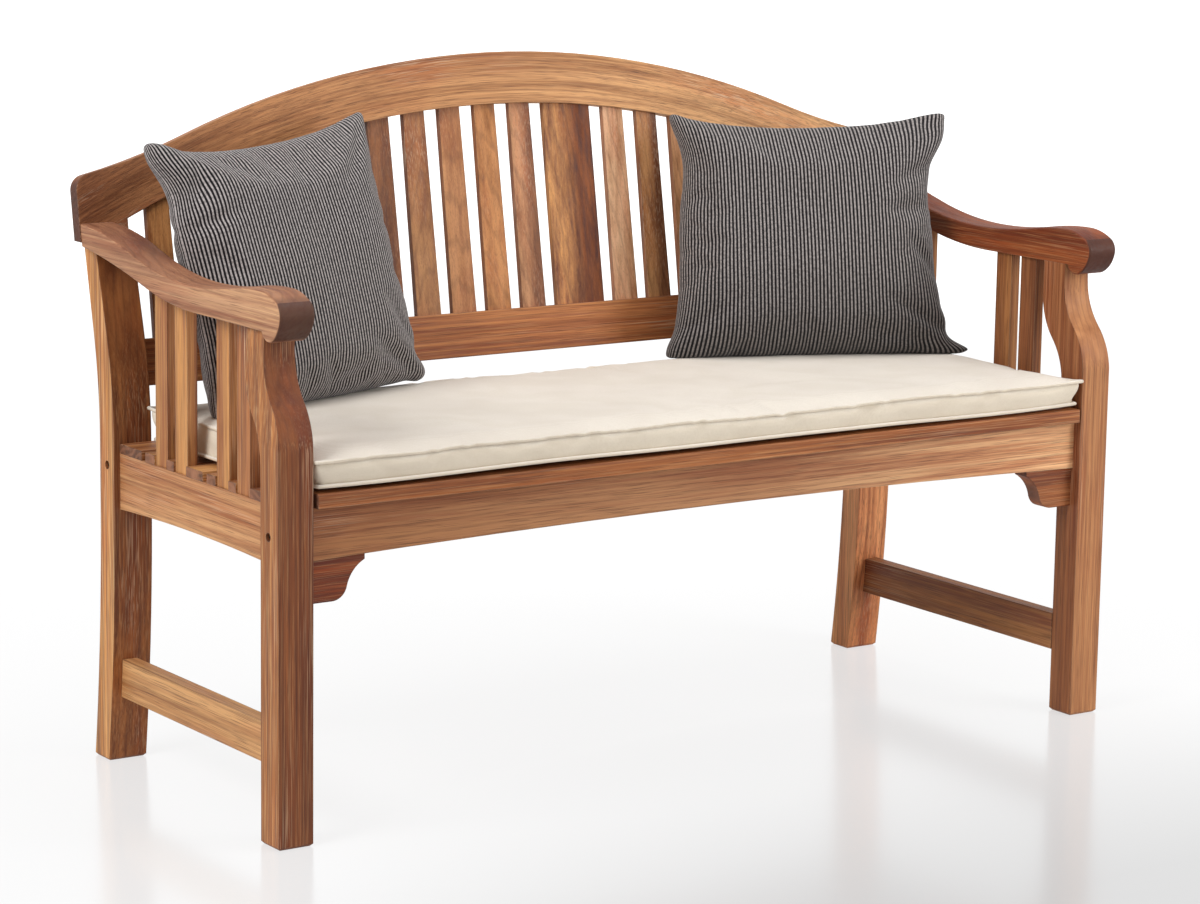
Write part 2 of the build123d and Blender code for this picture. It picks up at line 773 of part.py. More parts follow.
def top_rail():
    """Arched top rail, housed over the posts and slotted for the slats."""
    rail = panel_board(top_rail_face(), 0, top_rail_thickness)
    corners = rail.edges().filter_by(lambda edge: is_rail_corner(edge))
    rail = fillet(corners, radius=rail_rise * rail_corner_share)
    below = block(
        (-bench_width, bench_width), (0, 2 * bench_width), (0, rail_shoulder_z)
    )
    rail = rail - below
    tenon_pocket = pocket(*post_tenon)
    tenon_pocket = tenon_pocket + pocket(*arm_tenon)
    rail = rail - tenon_pocket - mirrored(tenon_pocket)
    for slat in slat_row():
        rail = rail - slat_block(*slat, joint_gap)
    return rail


def is_rail_corner(edge):
    """True for the short edges through the board at its two upper ends."""
    middle = edge.center()
    across = edge.length < top_rail_thickness + joint_gap
    at_end = abs(middle.X) > rail_end_x - joint_gap
    return across and at_end and middle.Z > rail_spring_z


def lower_back_rail():
    """Lower rail of the back, tenoned into the posts."""
    size = Rectangle(2 * post_inner_x, lower_rail_height / math.cos(back_slope))
    rail = panel_board(size, 0, lower_rail_thickness)
    x, y, z = lower_rail_tenon
    rail = rail + block((-x[1], x[1]), y, z)
    for slat in slat_row():
        rail = rail - slat_block(*slat, joint_gap)
    return rail


def slat_row():
    """Back slats from left to right: place, width at the foot, width at the head."""
    pitch = post_inner_x * slat_pitch_share
    wide_x = post_inner_x * wide_splat_x_share
    step = pitch * wide_step_share
    narrow = [pitch * share for share in narrow_width_shares]
    wide = [pitch * share for share in wide_width_shares]
    left = [wide_x - step - i * pitch for i in reversed(range(left_slat_count))]
    right = [wide_x + step + i * pitch for i in range(right_slat_count)]
    row = [(x, *narrow) for x in left]
    row.append((wide_x, *wide))
    return row + [(x, *narrow) for x in right]


def slat_block(x, foot_width, head_width, gap):
    """A back slat with both housed ends; a gap lets out its housing."""
    low = slope_height(lower_rail_z + lower_rail_height) - back_slat_tenon - gap
    lower_side = max(arch_height(x - head_width / 2), arch_height(x + head_width / 2))
    high = lower_side + back_slat_tenon + gap
    foot = centred(x, foot_width + 2 * gap)
    head = centred(x, head_width + 2 * gap)
    outline = Polyline((foot[0], low), (foot[1], low), (head[1], high), (head[0], high), (foot[0], low))
    return panel_board(make_face(outline), back_slat_recess - gap, back_slat_thickness + 2 * gap)


# Soft parts
def cushion_section(x, half_depth, edge_z, crown):
    """Section of the box cushion: stepped over the nosing, bulged sides, raised top."""
    middle = cushion_front_y + cushion_depth / 2
    base = seat_top_z + seat_gap
    step = nosing_top_z + seat_gap
    front, back = middle - half_depth, middle + half_depth
    heel = (back - cushion_undercut, base)
    toe = (front + cushion_undercut, step)
    step_end = nosing_y[1] + cushion_step_run
    face = closed_face(
        Polyline(toe, (nosing_y[1] + seat_gap, step), (step_end, base), heel),
        ThreePointArc(heel, (back, (base + edge_z) / 2), (back - cushion_bulge, edge_z)),
        ThreePointArc(
            (back - cushion_bulge, edge_z),
            (back - cushion_bulge - cushion_shoulder / 2, edge_z + crown * 3 / 4),
            (back - cushion_bulge - cushion_shoulder, edge_z + crown),
        ),
        Line(
            (back - cushion_bulge - cushion_shoulder, edge_z + crown),
            (front + cushion_bulge + cushion_shoulder, edge_z + crown),
        ),
        ThreePointArc(
            (front + cushion_bulge + cushion_shoulder, edge_z + crown),
            (front + cushion_bulge + cushion_shoulder / 2, edge_z + crown * 3 / 4),
            (front + cushion_bulge, edge_z),
        ),
        ThreePointArc((front + cushion_bulge, edge_z), (front, (step + edge_z) / 2), toe),
    )
    return Plane.YZ.offset(x) * face


def seat_cushion():
    """Box cushion on the seat slats, drawn in between its corners."""
    half_length = inner_x - cushion_side_gap
    half_depth = cushion_depth / 2
    end_run = half_length - cushion_end_run
    stations = [(end_run * share, share) for share in cushion_station_shares]
    sections = []
    for x, share in stations:
        draw = cushion_draw_in * (1 - share ** 2)
        sections.append((x, half_depth - draw, cushion_edge_z, cushion_crown))
    corner = (end_run, half_depth, cushion_edge_z, cushion_crown * cushion_end_crown_share)
    sections.append(corner)
    end_depth = half_depth - cushion_end_inset
    end = (half_length, end_depth, cushion_edge_z - cushion_end_drop, corner[3])
    ordered = sorted([(-x, *rest) for x, *rest in sections if x > 0] + sections)
    body = loft([cushion_section(*section) for section in ordered])
    right_end = loft([cushion_section(*corner), cushion_section(*end)], ruled=True)
    return body + right_end + mirrored(right_end)


def pillow_outline(size, slump, draws, share):
    """A pillow's outline shrunk about its middle: edges drawn in, corners rounded."""
    left_draw, right_draw, top_draw = [draw * share for draw in draws]
    middle = size[1] / 2
    low, high = centred(middle, size[1] * share)
    foot = size[0] / 2 * share
    head = foot - slump * share
    side = (foot + head) / 2
    face = closed_face(
        Line((-foot, low), (foot, low)),
        ThreePointArc((foot, low), (side - right_draw, middle), (head, high)),
        ThreePointArc((head, high), (0, high - top_draw), (-head, high)),
        ThreePointArc((-head, high), (left_draw - side, middle), (-foot, low)),
    )
    return fillet(face.vertices(), radius=pillow_corner_round * share)


def pillow(side, size, slump, draws, gaps, angles):
    """Knife-edge pillow standing on the cushion, flattened where it stands."""
    turn_deg, lean_deg, tilt_deg = angles
    sections = []
    for share, depth_share in zip(pillow_outline_shares, pillow_depth_shares):
        depth = pillow_thickness / 2 * depth_share
        sections.append(Plane.XZ.offset(depth) * pillow_outline(size, slump, draws, share))
    front = loft(sections)
    body = front + mirror(front, about=Plane.XZ)
    reach = size[0] / 2 * math.cos(math.radians(turn_deg))
    foot_x = side * (inner_x - gaps[0] - reach)
    place = Pos(foot_x, seat_depth - gaps[1], cushion_top_z + seat_gap - pillow_sink)
    body = place * Rot(0, 0, turn_deg) * Rot(-lean_deg, 0, 0) * Rot(0, tilt_deg, 0) * body
    spread = (-bench_width, bench_width)
    return body - block(spread, spread, (0, cushion_top_z + seat_gap))


def build_frame():
    save_pair("front_leg", front_leg())
    save_pair("back_leg", back_leg())
    save_pair("stretcher", stretcher())
    save_pair("corner_bracket", bracket())
    save("left_side_rail", mirrored(side_rail(left_balusters)))
    save("right_side_rail", side_rail(right_balusters))
    save("left_arm", mirrored(arm(left_balusters)))
    save("right_arm", arm(right_balusters))
    for number, (left_y, right_y) in enumerate(zip(left_balusters, right_balusters), start=1):
        save(f"left_arm_baluster_{number}", mirrored(baluster(left_y)))
        save(f"right_arm_baluster_{number}", baluster(right_y))
    save("front_apron", front_apron())
    save("rear_seat_rail", rear_seat_rail())
    save("seat_bearer", seat_bearer())
    save("top_rail", top_rail())
    save("lower_back_rail", lower_back_rail())


def build_slats():
    save("seat_nosing", seat_nosing())
    for number, span in enumerate(slat_spans, start=1):
        save(f"seat_slat_{number}", seat_slat(span))
    row = slat_row()
    save("wide_back_splat", slat_block(*row.pop(left_slat_count), 0))
    for number, slat in enumerate(row, start=1):
        save(f"back_slat_{number:02d}", slat_block(*slat, 0))


def build_fasteners():
    right_bolts = [
        bolt(outer_x, inner_x, sum(apron_y) / 2, apron_bolt_z),
        bolt(post_outer_x, post_inner_x, sum(rear_rail_y) / 2, rear_bolt_z),
    ]
    right_nuts = [
        barrel_nut(inner_x, apron_y, apron_bolt_z),
        barrel_nut(post_inner_x, rear_rail_y, rear_bolt_z),
    ]
    save("frame_bolts", Compound(right_bolts + [mirrored(part) for part in right_bolts]))
    save("barrel_nuts", Compound(right_nuts + [mirrored(part) for part in right_nuts]))


def build_soft_parts():
    save("seat_cushion", seat_cushion())
    left_angles = (left_pillow_turn_deg, left_pillow_lean_deg, left_pillow_tilt_deg)
    right_angles = (right_pillow_turn_deg, right_pillow_lean_deg, right_pillow_tilt_deg)
    save("left_pillow", pillow(
        -1, left_pillow_size, left_pillow_slump, left_pillow_draws, left_pillow_gaps, left_angles
    ))
    save("right_pillow", pillow(
        1, right_pillow_size, right_pillow_slump, right_pillow_draws, right_pillow_gaps, right_angles
    ))


def write_pieces():
    whole = Compound(list(pieces.values())).bounding_box()
    middle_y = (whole.min.Y + whole.max.Y) / 2
    for name, shape in pieces.items():
        placed = Pos(0, -middle_y, 0) * shape
        placed.label = name
        export_step(placed, f"parts/{name}.step")


os.makedirs("parts", exist_ok=True)
build_frame()
build_slats()
build_fasteners()
build_soft_parts()
write_pieces()
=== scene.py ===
import bmesh
import bpy
import math
from mathutils import Euler, Matrix, Vector, noise


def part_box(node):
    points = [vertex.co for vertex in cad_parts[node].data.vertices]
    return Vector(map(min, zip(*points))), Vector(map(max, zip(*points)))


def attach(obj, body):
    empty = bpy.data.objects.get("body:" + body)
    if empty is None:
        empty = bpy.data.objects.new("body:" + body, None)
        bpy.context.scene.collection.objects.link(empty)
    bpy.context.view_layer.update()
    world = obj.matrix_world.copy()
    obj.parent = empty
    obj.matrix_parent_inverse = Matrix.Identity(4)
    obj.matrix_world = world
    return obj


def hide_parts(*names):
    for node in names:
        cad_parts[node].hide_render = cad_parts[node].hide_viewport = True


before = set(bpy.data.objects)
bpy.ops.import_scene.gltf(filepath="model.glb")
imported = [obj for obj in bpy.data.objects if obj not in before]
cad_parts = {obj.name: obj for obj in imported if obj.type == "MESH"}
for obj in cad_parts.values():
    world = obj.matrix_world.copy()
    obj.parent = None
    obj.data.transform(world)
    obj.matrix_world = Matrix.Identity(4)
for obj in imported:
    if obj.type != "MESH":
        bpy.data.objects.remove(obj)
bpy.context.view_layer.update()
scene = bpy.context.scene

# Camera: a long lens on the left front, a little above the seat, where the photograph
# was taken from. The place, the turn and the focal length come from the photograph's
# own perspective lines.
camera_place = (-2.685, -3.9156, 1.2495)
camera_turn = math.radians(34.43)
camera_drop = math.radians(10.49)
camera_roll = math.radians(0.85)
camera_data = bpy.data.cameras.new("camera")
camera_data.sensor_width = 36
camera_data.lens = 111.8
camera = bpy.data.objects.new("camera", camera_data)
scene.collection.objects.link(camera)
aim = Euler((math.pi / 2 - camera_drop, 0, -camera_turn)).to_matrix()
aim = aim @ Matrix.Rotation(camera_roll, 3, "Z")
camera.matrix_world = Matrix.Translation(camera_place) @ aim.to_4x4()
scene.camera = camera


# Hardwood boards: oiled, sun-dried red-brown hardwood with a straight grain, cut from
# many boards, so each one has its own tone, partly set to paint in the light and shade the
# board gets; its faces across X are painted lighter or darker as painted light and shade. Grain
# runs along every board, and the sawn ends and rubbed edges show paler and drier, the pale
# edges partly a painted highlight.
def linear(code):
    """Linear colour of an sRGB hex code."""
    parts = [int(code[i:i + 2], 16) / 255 for i in (1, 3, 5)]
    return tuple(v / 12.92 if v <= 0.04045 else ((v + 0.055) / 1.055) ** 2.4 for v in parts) + (1,)


def add(tree, kind, inputs=(), **settings):
    """Adds a shader node with its settings and links, and gives its first live output."""
    made = tree.nodes.new("ShaderNode" + kind)
    for key, value in settings.items():
        setattr(made, key, value)
    for key, value in dict(inputs).items():
        if isinstance(value, bpy.types.NodeSocket):
            tree.links.new(value, made.inputs[key])
        else:
            made.inputs[key].default_value = value
    live = [socket for socket in made.outputs if socket.enabled]
    return live[0] if live else None


def new_material(name):
    """Empty node material and its shader."""
    material = bpy.data.materials.new(name)
    material.use_nodes = True
    tree = material.node_tree
    tree.nodes.clear()
    surface = add(tree, "BsdfPrincipled")
    add(tree, "OutputMaterial", {"Surface": surface})
    return material, tree, surface.node


def hardwood(name, grain, dark, light, offset, x_face_light=1.0, z_gain=1.0, end="#7A5240", end_from=0.72,
             bend=0.0, wear_and_edge_light=0.4, drifts=()):
    """One board's material: the axis of its grain, its darkest and lightest streaks, how much
    lighter its faces across X are painted (painted light and shade) and how much lighter its upper
    faces are, the tone of its sawn ends and how square to the grain they begin, how its grain
    bends, its edge wear with its painted edge highlight and shade, and its slow drifts, which on
    some boards are painted light and shade."""
    material, tree, shader = new_material(name)
    coordinates = add(tree, "TexCoord").node.outputs
    parts = add(tree, "SeparateXYZ", {0: coordinates["Object"]}).node.outputs
    along, near, far = [parts[axis] for axis in {"X": "XYZ", "Y": "YXZ", "Z": "ZXY"}[grain]]
    if bend:
        square = add(tree, "Math", {0: along, 1: along}, operation="MULTIPLY")
        far = add(tree, "Math", {0: square, 1: bend, 2: far}, operation="MULTIPLY_ADD")
    joined = add(tree, "CombineXYZ", {0: along, 1: near, 2: far})
    place = add(tree, "Mapping", {"Vector": joined, "Location": offset})

    # Streaks by cells to the metre, along and across the grain: bands 40 mm wide, lines
    # of 14 and 4 mm, fibres of 1.2 mm and pores of 0.7 mm
    layers = {}
    for layer, length, width, detail, bent in (
        ("bands", 1.1, 26, 2, 0.4), ("lines", 1.5, 75, 3, 0.25), ("fine", 3.2, 240, 4, 0.05),
        ("fibres", 12, 820, 3, 0.0), ("pores", 20, 1400, 1, 0.0), ("patches", 3.2, 24, 3, 0.3),
    ):
        drawn = add(tree, "Mapping", {"Vector": place, "Scale": (length, width, width)})
        settings = {"Vector": drawn, "Scale": 1.0, "Detail": detail, "Distortion": bent}
        layers[layer] = add(tree, "TexNoise", settings)
    slim = add(tree, "Mapping", {"Vector": place, "Scale": (0.07, 1, 1)})
    rings = {"Vector": slim, "Scale": 34, "Distortion": 5, "Detail": 2, "Detail Scale": 1.2}
    figure = add(tree, "TexWave", rings, wave_type="RINGS", rings_direction="X")

    # How far a face runs with the grain: where a curve cuts across it, fibres hardly show
    normal = add(tree, "SeparateXYZ", {0: coordinates["Normal"]}).node.outputs
    across = add(tree, "Math", {0: normal[grain]}, operation="ABSOLUTE")
    straight = add(tree, "MapRange", {0: across, 1: 0.06, 2: 0.25, 3: 1.0, 4: 0.15})

    # Colour: bands and lines from dark to light, redder patches, pale fibres, dark rings and pores
    tone = add(tree, "Math", {0: layers["lines"], 1: 0.75, 2: layers["bands"]}, operation="MULTIPLY_ADD")
    fine = add(tree, "Math", {0: layers["fine"], 1: 0.5}, operation="SUBTRACT")
    fine = add(tree, "Math", {0: fine, 1: straight}, operation="MULTIPLY")
    tone = add(tree, "Math", {0: fine, 1: 1.1, 2: tone}, operation="MULTIPLY_ADD")
    share = add(tree, "MapRange", {0: tone, 1: 0.65, 2: 1.1})
    colour = add(tree, "Mix", {0: share, 6: linear(dark), 7: linear(light)}, data_type="RGBA")
    share = add(tree, "MapRange", {0: layers["patches"], 1: 0.5, 2: 0.72, 4: 0.55})
    red = {0: share, 6: colour, 7: linear("#E0A183")}
    colour = add(tree, "Mix", red, data_type="RGBA", blend_type="MULTIPLY")
    share = add(tree, "MapRange", {0: layers["fibres"], 1: 0.5, 2: 0.68, 4: 0.25})
    share = add(tree, "Math", {0: share, 1: straight}, operation="MULTIPLY")
    colour = add(tree, "Mix", {0: share, 6: colour, 7: linear("#DCA873")}, data_type="RGBA")
    share = add(tree, "MapRange", {0: figure, 1: 0.8, 2: 1.0, 4: 0.22})
    colour = add(tree, "Mix", {0: share, 6: colour, 7: linear("#54301D")}, data_type="RGBA")
    share = add(tree, "MapRange", {0: layers["pores"], 1: 0.56, 2: 0.7, 4: 0.6})
    share = add(tree, "Math", {0: share, 1: straight}, operation="MULTIPLY")
    colour = add(tree, "Mix", {0: share, 6: colour, 7: linear("#43261A")}, data_type="RGBA")

    # A slow change of colour from one end or side of the board to the other; on the top rail, apron and
    # nosing it is painted light and shade
    for axis, start, stop, first, last in drifts:
        share = add(tree, "MapRange", {0: parts[axis], 1: start, 2: stop})
        slow = add(tree, "Mix", {0: share, 6: (*first, 1), 7: (*last, 1)}, data_type="RGBA")
        colour = add(tree, "Mix", {0: 1.0, 6: colour, 7: slow}, data_type="RGBA", blend_type="MULTIPLY")

    # The faces across X painted lighter or darker, as painted light and shade, and the upper
    # faces made lighter or darker by their own factor
    for axis, gain in (("X", x_face_light), ("Z", z_gain)):
        size = add(tree, "Math", {0: normal[axis]}, operation="ABSOLUTE")
        share = add(tree, "MapRange", {0: size, 1: 0.55, 2: 0.8})
        other = {0: share, 6: colour, 7: (gain, gain ** 1.45, gain ** 1.65, 1)}
        colour = add(tree, "Mix", other, data_type="RGBA", blend_type="MULTIPLY")

    # Sawn ends, which take the oil unevenly
    at_end = add(tree, "MapRange", {0: across, 1: end_from, 2: end_from + 0.22, 4: 0.92})
    share = add(tree, "MapRange", {0: layers["patches"], 1: 0.35, 2: 0.65})
    sawn = add(tree, "Mix", {0: share, 6: linear(end), 7: linear("#3A2016")}, data_type="RGBA")
    share = add(tree, "MapRange", {0: figure, 1: 0.3, 2: 0.9, 4: 0.45})
    sawn = add(tree, "Mix", {0: share, 6: sawn, 7: linear(end)}, data_type="RGBA")
    colour = add(tree, "Mix", {0: at_end, 6: colour, 7: sawn}, data_type="RGBA")

    # Edges rounded 2.2 mm, with pale edge lines that are partly rubbed wear and partly a painted
    # highlight where the rounding catches the light, dark edge lines that are partly stain and partly
    # painted shade under the edges, and dry pale scuffs
    rounded = add(tree, "Bevel", {"Radius": 0.0022}, samples=4)
    flat = add(tree, "NewGeometry").node.outputs["Normal"]
    same = add(tree, "VectorMath", {0: rounded, 1: flat}, operation="DOT_PRODUCT").node.outputs["Value"]
    corner = add(tree, "MapRange", {0: same, 1: 0.99, 2: 0.84, 4: wear_and_edge_light})
    share = add(tree, "MapRange", {0: layers["fine"], 1: 0.42, 2: 0.6})
    pale = add(tree, "Math", {0: corner, 1: share}, operation="MULTIPLY")
    colour = add(tree, "Mix", {0: pale, 6: colour, 7: linear("#DDBE9C")}, data_type="RGBA")
    share = add(tree, "MapRange", {0: layers["lines"], 1: 0.42, 2: 0.5, 3: 1.6, 4: 0.3})
    dark_edge_stain_and_shade = add(tree, "Math", {0: corner, 1: share}, operation="MULTIPLY", use_clamp=True)
    colour = add(tree, "Mix", {0: dark_edge_stain_and_shade, 6: colour, 7: linear("#3C2115")}, data_type="RGBA")
    share = add(tree, "MapRange", {0: layers["patches"], 1: 0.54, 2: 0.7, 4: wear_and_edge_light})
    scuff = add(tree, "MapRange", {0: layers["fibres"], 1: 0.52, 2: 0.62})
    scuff = add(tree, "Math", {0: scuff, 1: share}, operation="MULTIPLY")
    scuff = add(tree, "Math", {0: scuff, 1: straight}, operation="MULTIPLY")
    colour = add(tree, "Mix", {0: scuff, 6: colour, 7: linear("#E0C6A8")}, data_type="RGBA")

    height = add(tree, "Math", {0: layers["fibres"], 1: layers["pores"]}, operation="SUBTRACT")
    height = add(tree, "Math", {0: height, 1: straight, 2: layers["fine"]}, operation="MULTIPLY_ADD")
    bump = {"Height": height, "Normal": rounded, "Strength": 0.4, "Distance": 0.0008}
    tree.links.new(add(tree, "Bump", bump), shader.inputs["Normal"])
    tree.links.new(colour, shader.inputs["Base Color"])
    rough = add(tree, "MapRange", {0: layers["fine"], 1: 0.3, 2: 0.7, 3: 0.46, 4: 0.66})
    tree.links.new(rough, shader.inputs["Roughness"])
    shader.inputs["Specular IOR Level"].default_value = 0.3
    return material


def dress(name, material):
    """Gives a CAD node its one material."""
    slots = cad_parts[name].data.materials
    slots.clear()
    slots.append(material)


# Tones by board: name, grain, darkest and lightest streaks, and how much lighter its
# faces across X are painted than the others, as painted light and shade. The streak tones
# are partly each board's own tone and partly painted light and shade: lighter on the right
# front leg, darker on the left front leg and on the right arm, side rail and stretcher
board_tones = (
    ("top_rail", "X", "#935E36", "#C98F5E", 0.7),
    ("lower_back_rail", "X", "#8F4D29", "#C8824E", 1.0),
    ("front_apron", "X", "#A2633D", "#C89264", 1.0),
    ("seat_nosing", "X", "#6E3617", "#A26032", 1.0),
    ("rear_seat_rail", "X", "#844A28", "#B27344", 1.0),
    ("left_arm", "Y", "#7F4C33", "#B18160", 1.03),
    ("right_arm", "Y", "#703013", "#A3582B", 0.9),
    ("left_side_rail", "Y", "#9D6239", "#CC9869", 1.0),
    ("right_side_rail", "Y", "#8A4E2C", "#BC7A48", 1.0),
    ("left_stretcher", "Y", "#A0693B", "#D4A16B", 1.0),
    ("right_stretcher", "Y", "#7C4528", "#B07848", 1.0),
    ("seat_bearer", "Y", "#844A28", "#B27344", 1.0),
    ("left_front_leg", "Z", "#623015", "#90522A", 1.7),
    ("right_front_leg", "Z", "#8C522E", "#C08455", 0.73),
    ("left_back_leg", "Z", "#6E3B1C", "#A36435", 1.85),
    ("right_back_leg", "Z", "#B46A3F", "#F4A76E", 1.3),
    ("left_corner_bracket", "X", "#5E230C", "#92431A", 1.2),
    ("right_corner_bracket", "X", "#6E351B", "#A05D32", 1.0),
    ("wide_back_splat", "Z", "#62301C", "#C38551", 0.8),
)

# How the top rail's grain follows its arch, then the boards whose colour drifts: the axis,
# where the drift starts and stops in metres, and the factors on the colour at both places.
# The top rail's dark left end is painted shade, and the top rail, front apron and seat nosing
# are painted lighter towards the right as painted light; the left arm turns lighter towards
# its front and the wide back splat darker towards its right edge
rail_arch_bend = 0.396
board_drifts = {
    "top_rail": (("X", -0.62, -0.36, (0.5, 0.42, 0.4), (1, 1, 1)),
                 ("X", -0.4, 0.5, (0.9, 0.84, 0.8), (1.36, 1.58, 1.75))),
    "front_apron": (("X", -0.56, 0.15, (0.68, 0.57, 0.48), (0.88, 0.86, 0.88)),
                    ("X", 0.1, 0.56, (1, 1, 1), (1.9, 2.4, 2.7))),
    "seat_nosing": (("X", -0.3, 0.56, (0.97, 0.95, 0.9), (1.4, 1.5, 1.55)),),
    "left_arm": (("Y", 0.05, -0.2, (0.95, 0.96, 0.97), (1.22, 1.34, 1.36)),),
    "wide_back_splat": (("X", 0.088, 0.118, (1.28, 1.4, 1.42), (0.5, 0.34, 0.27)),),
}
for number, (name, grain, dark, light, x_face_light) in enumerate(board_tones):
    shift = (0.37 * number, 0.05 + 0.013 * (number % 5), 0.04 + 0.017 * (number % 7))
    bend = rail_arch_bend if name == "top_rail" else 0.0
    if name.endswith("arm"):
        look = {"z_gain": 0.72, "end": "#401B0E", "end_from": 0.32, "wear_and_edge_light": 0.2}
    else:
        end = "#55301F" if name == "top_rail" else "#7A5240"
        look = {"bend": bend, "end": end, "wear_and_edge_light": 0.25 if grain == "Z" else 0.4}
    look["drifts"] = board_drifts.get(name, ())
    dress(name, hardwood(name, grain, dark, light, shift, x_face_light, **look))

# Narrow boards: back slats from left to right, then the uprights and seat slats, which repeat
back_tones = (
    ("#7C4425", "#BA7F4A"), ("#6C3A22", "#A86C40"), ("#8E5430", "#CC9458"), ("#683620", "#A26640"),
    ("#864C2A", "#C0864E"), ("#784226", "#B47848"), ("#5A301F", "#8E5A38"), ("#8A5736", "#C08A5C"),
    ("#945C36", "#CA8F61"), ("#91592A", "#CF905C"), ("#8B5938", "#D09A70"), ("#AA7950", "#E7B992"),
    ("#7A4C30", "#C4905E"), ("#9A6640", "#D89E70"), ("#864C2A", "#C0864E"), ("#784226", "#B47848"),
    ("#8E5430", "#CC9458"), ("#6C3A22", "#A86C40"),
)
slat_tones = (
    ("#7C4425", "#BA7F4A"), ("#8E5430", "#CC9458"), ("#6C3A22", "#A86C40"), ("#864C2A", "#C0864E"),
)

# Two back slats that turn darker towards their right edge, by their number from the left
slat_drifts = {
    11: (("X", 0.026, 0.04, (1, 1, 1), (0.5, 0.42, 0.4)),),
    13: (("X", 0.234, 0.246, (1, 1, 1), (0.42, 0.34, 0.32)),),
}
# The number after the grain is how much lighter the faces across X are painted: painted shade on the
# back slats' sides, painted light on the left uprights, painted shade on the right ones
narrow_boards = [(f"back_slat_{i:02d}", "Z", 0.6) for i in range(1, 19)]
narrow_boards += [(f"left_arm_baluster_{i}", "Z", 1.15) for i in range(1, 5)]
narrow_boards += [(f"right_arm_baluster_{i}", "Z", 0.85) for i in range(1, 5)]
narrow_boards += [(f"seat_slat_{i}", "X", 1.0) for i in range(1, 8)]
for number, (name, grain, x_face_light) in enumerate(narrow_boards):
    tones = back_tones if number < len(back_tones) else slat_tones
    dark, light = tones[number % len(tones)]
    shift = (0.29 * number, 0.06 + 0.011 * (number % 6), 0.05 + 0.019 * (number % 4))
    end = "#98664A" if name.startswith("seat") else "#7A5240"
    look = {"end": end, "wear_and_edge_light": 0.5, "drifts": slat_drifts.get(number + 1, ())}
    dress(name, hardwood(name, grain, dark, light, shift, x_face_light, **look))


# Bolts and barrel nuts: dull zinc-plated steel, sunk in the legs, gone dark in the holes.
def dull_steel():
    """Dull metal with dark tarnish in patches and fine scratches."""
    material, tree, shader = new_material("dull_steel")
    place = add(tree, "TexCoord").node.outputs["Object"]
    tarnish = add(tree, "TexNoise", {"Vector": place, "Scale": 260, "Detail": 4})
    scratches = add(tree, "TexNoise", {"Vector": place, "Scale": 1900, "Detail": 2})
    share = add(tree, "MapRange", {0: tarnish, 1: 0.4, 2: 0.65})
    colour = add(tree, "Mix", {0: share, 6: linear("#6A6762"), 7: linear("#34302C")}, data_type="RGBA")
    rough = add(tree, "MapRange", {0: tarnish, 1: 0.35, 2: 0.65, 3: 0.3, 4: 0.6})
    tree.links.new(colour, shader.inputs["Base Color"])
    tree.links.new(rough, shader.inputs["Roughness"])
    bump = add(tree, "Bump", {"Height": scratches, "Strength": 0.3, "Distance": 0.0002})
    tree.links.new(bump, shader.inputs["Normal"])
    shader.inputs["Metallic"].default_value = 1.0
    return material


steel = dull_steel()
for name in ("frame_bolts", "barrel_nuts"):
    dress(name, steel)


# Seat cushion: a foam box cushion in cream canvas, with a boxing strip between two
# piped seams. It is crowned, drawn in a little between its corners, and steps down
# behind the thicker front board of the seat.
def canvas():
    """Cream cotton canvas: a plain weave, drawn at 1 mm so that it shows, faintly slubbed."""
    material, tree, shader = new_material("cream_canvas")
    place = add(tree, "TexCoord").node.outputs["Object"]
    slub = add(tree, "TexNoise", {"Vector": place, "Scale": 420, "Detail": 3})
    soil = add(tree, "TexNoise", {"Vector": place, "Scale": 9, "Detail": 4})
    threads = {"Vector": place, "Scale": 320, "Distortion": 0.6}
    weave = [add(tree, "TexWave", threads, bands_direction=way) for way in ("X", "Y", "Z")]
    cloth = add(tree, "Math", {0: weave[0], 1: weave[1], 2: weave[2]}, operation="MULTIPLY_ADD")
    share = add(tree, "MapRange", {0: soil, 1: 0.3, 2: 0.7})
    colour = add(tree, "Mix", {0: share, 6: linear("#DBD2C7"), 7: linear("#E4DCD1")}, data_type="RGBA")
    share = add(tree, "MapRange", {0: slub, 1: 0.45, 2: 0.7, 4: 0.3})
    colour = add(tree, "Mix", {0: share, 6: colour, 7: linear("#D3C9BA")}, data_type="RGBA")
    share = add(tree, "MapRange", {0: cloth, 1: 0.2, 2: 1.5, 3: 0.16, 4: 0.0})
    colour = add(tree, "Mix", {0: share, 6: colour, 7: linear("#BFB39A")}, data_type="RGBA")
    # The cushion's sides, below its top, painted darker and warmer: painted shade
    facing = add(tree, "TexCoord").node.outputs["Normal"]
    upward = add(tree, "SeparateXYZ", {0: facing}).node.outputs["Z"]
    share = add(tree, "MapRange", {0: upward, 1: 0.75, 2: 0.35})
    side_shade = {0: share, 6: colour, 7: (0.98, 0.94, 0.86, 1)}
    colour = add(tree, "Mix", side_shade, data_type="RGBA", blend_type="MULTIPLY")
    height = add(tree, "Math", {0: cloth, 1: slub}, operation="ADD")
    bump = add(tree, "Bump", {"Height": height, "Strength": 0.25, "Distance": 0.0003})
    tree.links.new(bump, shader.inputs["Normal"])
    tree.links.new(colour, shader.inputs["Base Color"])
    shader.inputs["Roughness"].default_value = 0.9
    shader.inputs["Specular IOR Level"].default_value = 0.15
    shader.inputs["Sheen Weight"].default_value = 0.12
    return material


def shown(name, mesh, body, slot, *materials):
    """Links a new piece, and ties it to its body; the slot is not used."""
    piece = bpy.data.objects.new(name, mesh)
    scene.collection.objects.link(piece)
    for material in materials:
        mesh.materials.append(material)
    if hasattr(mesh, "polygons"):
        mesh.polygons.foreach_set("use_smooth", [True] * len(mesh.polygons))
    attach(piece, body)
    return piece


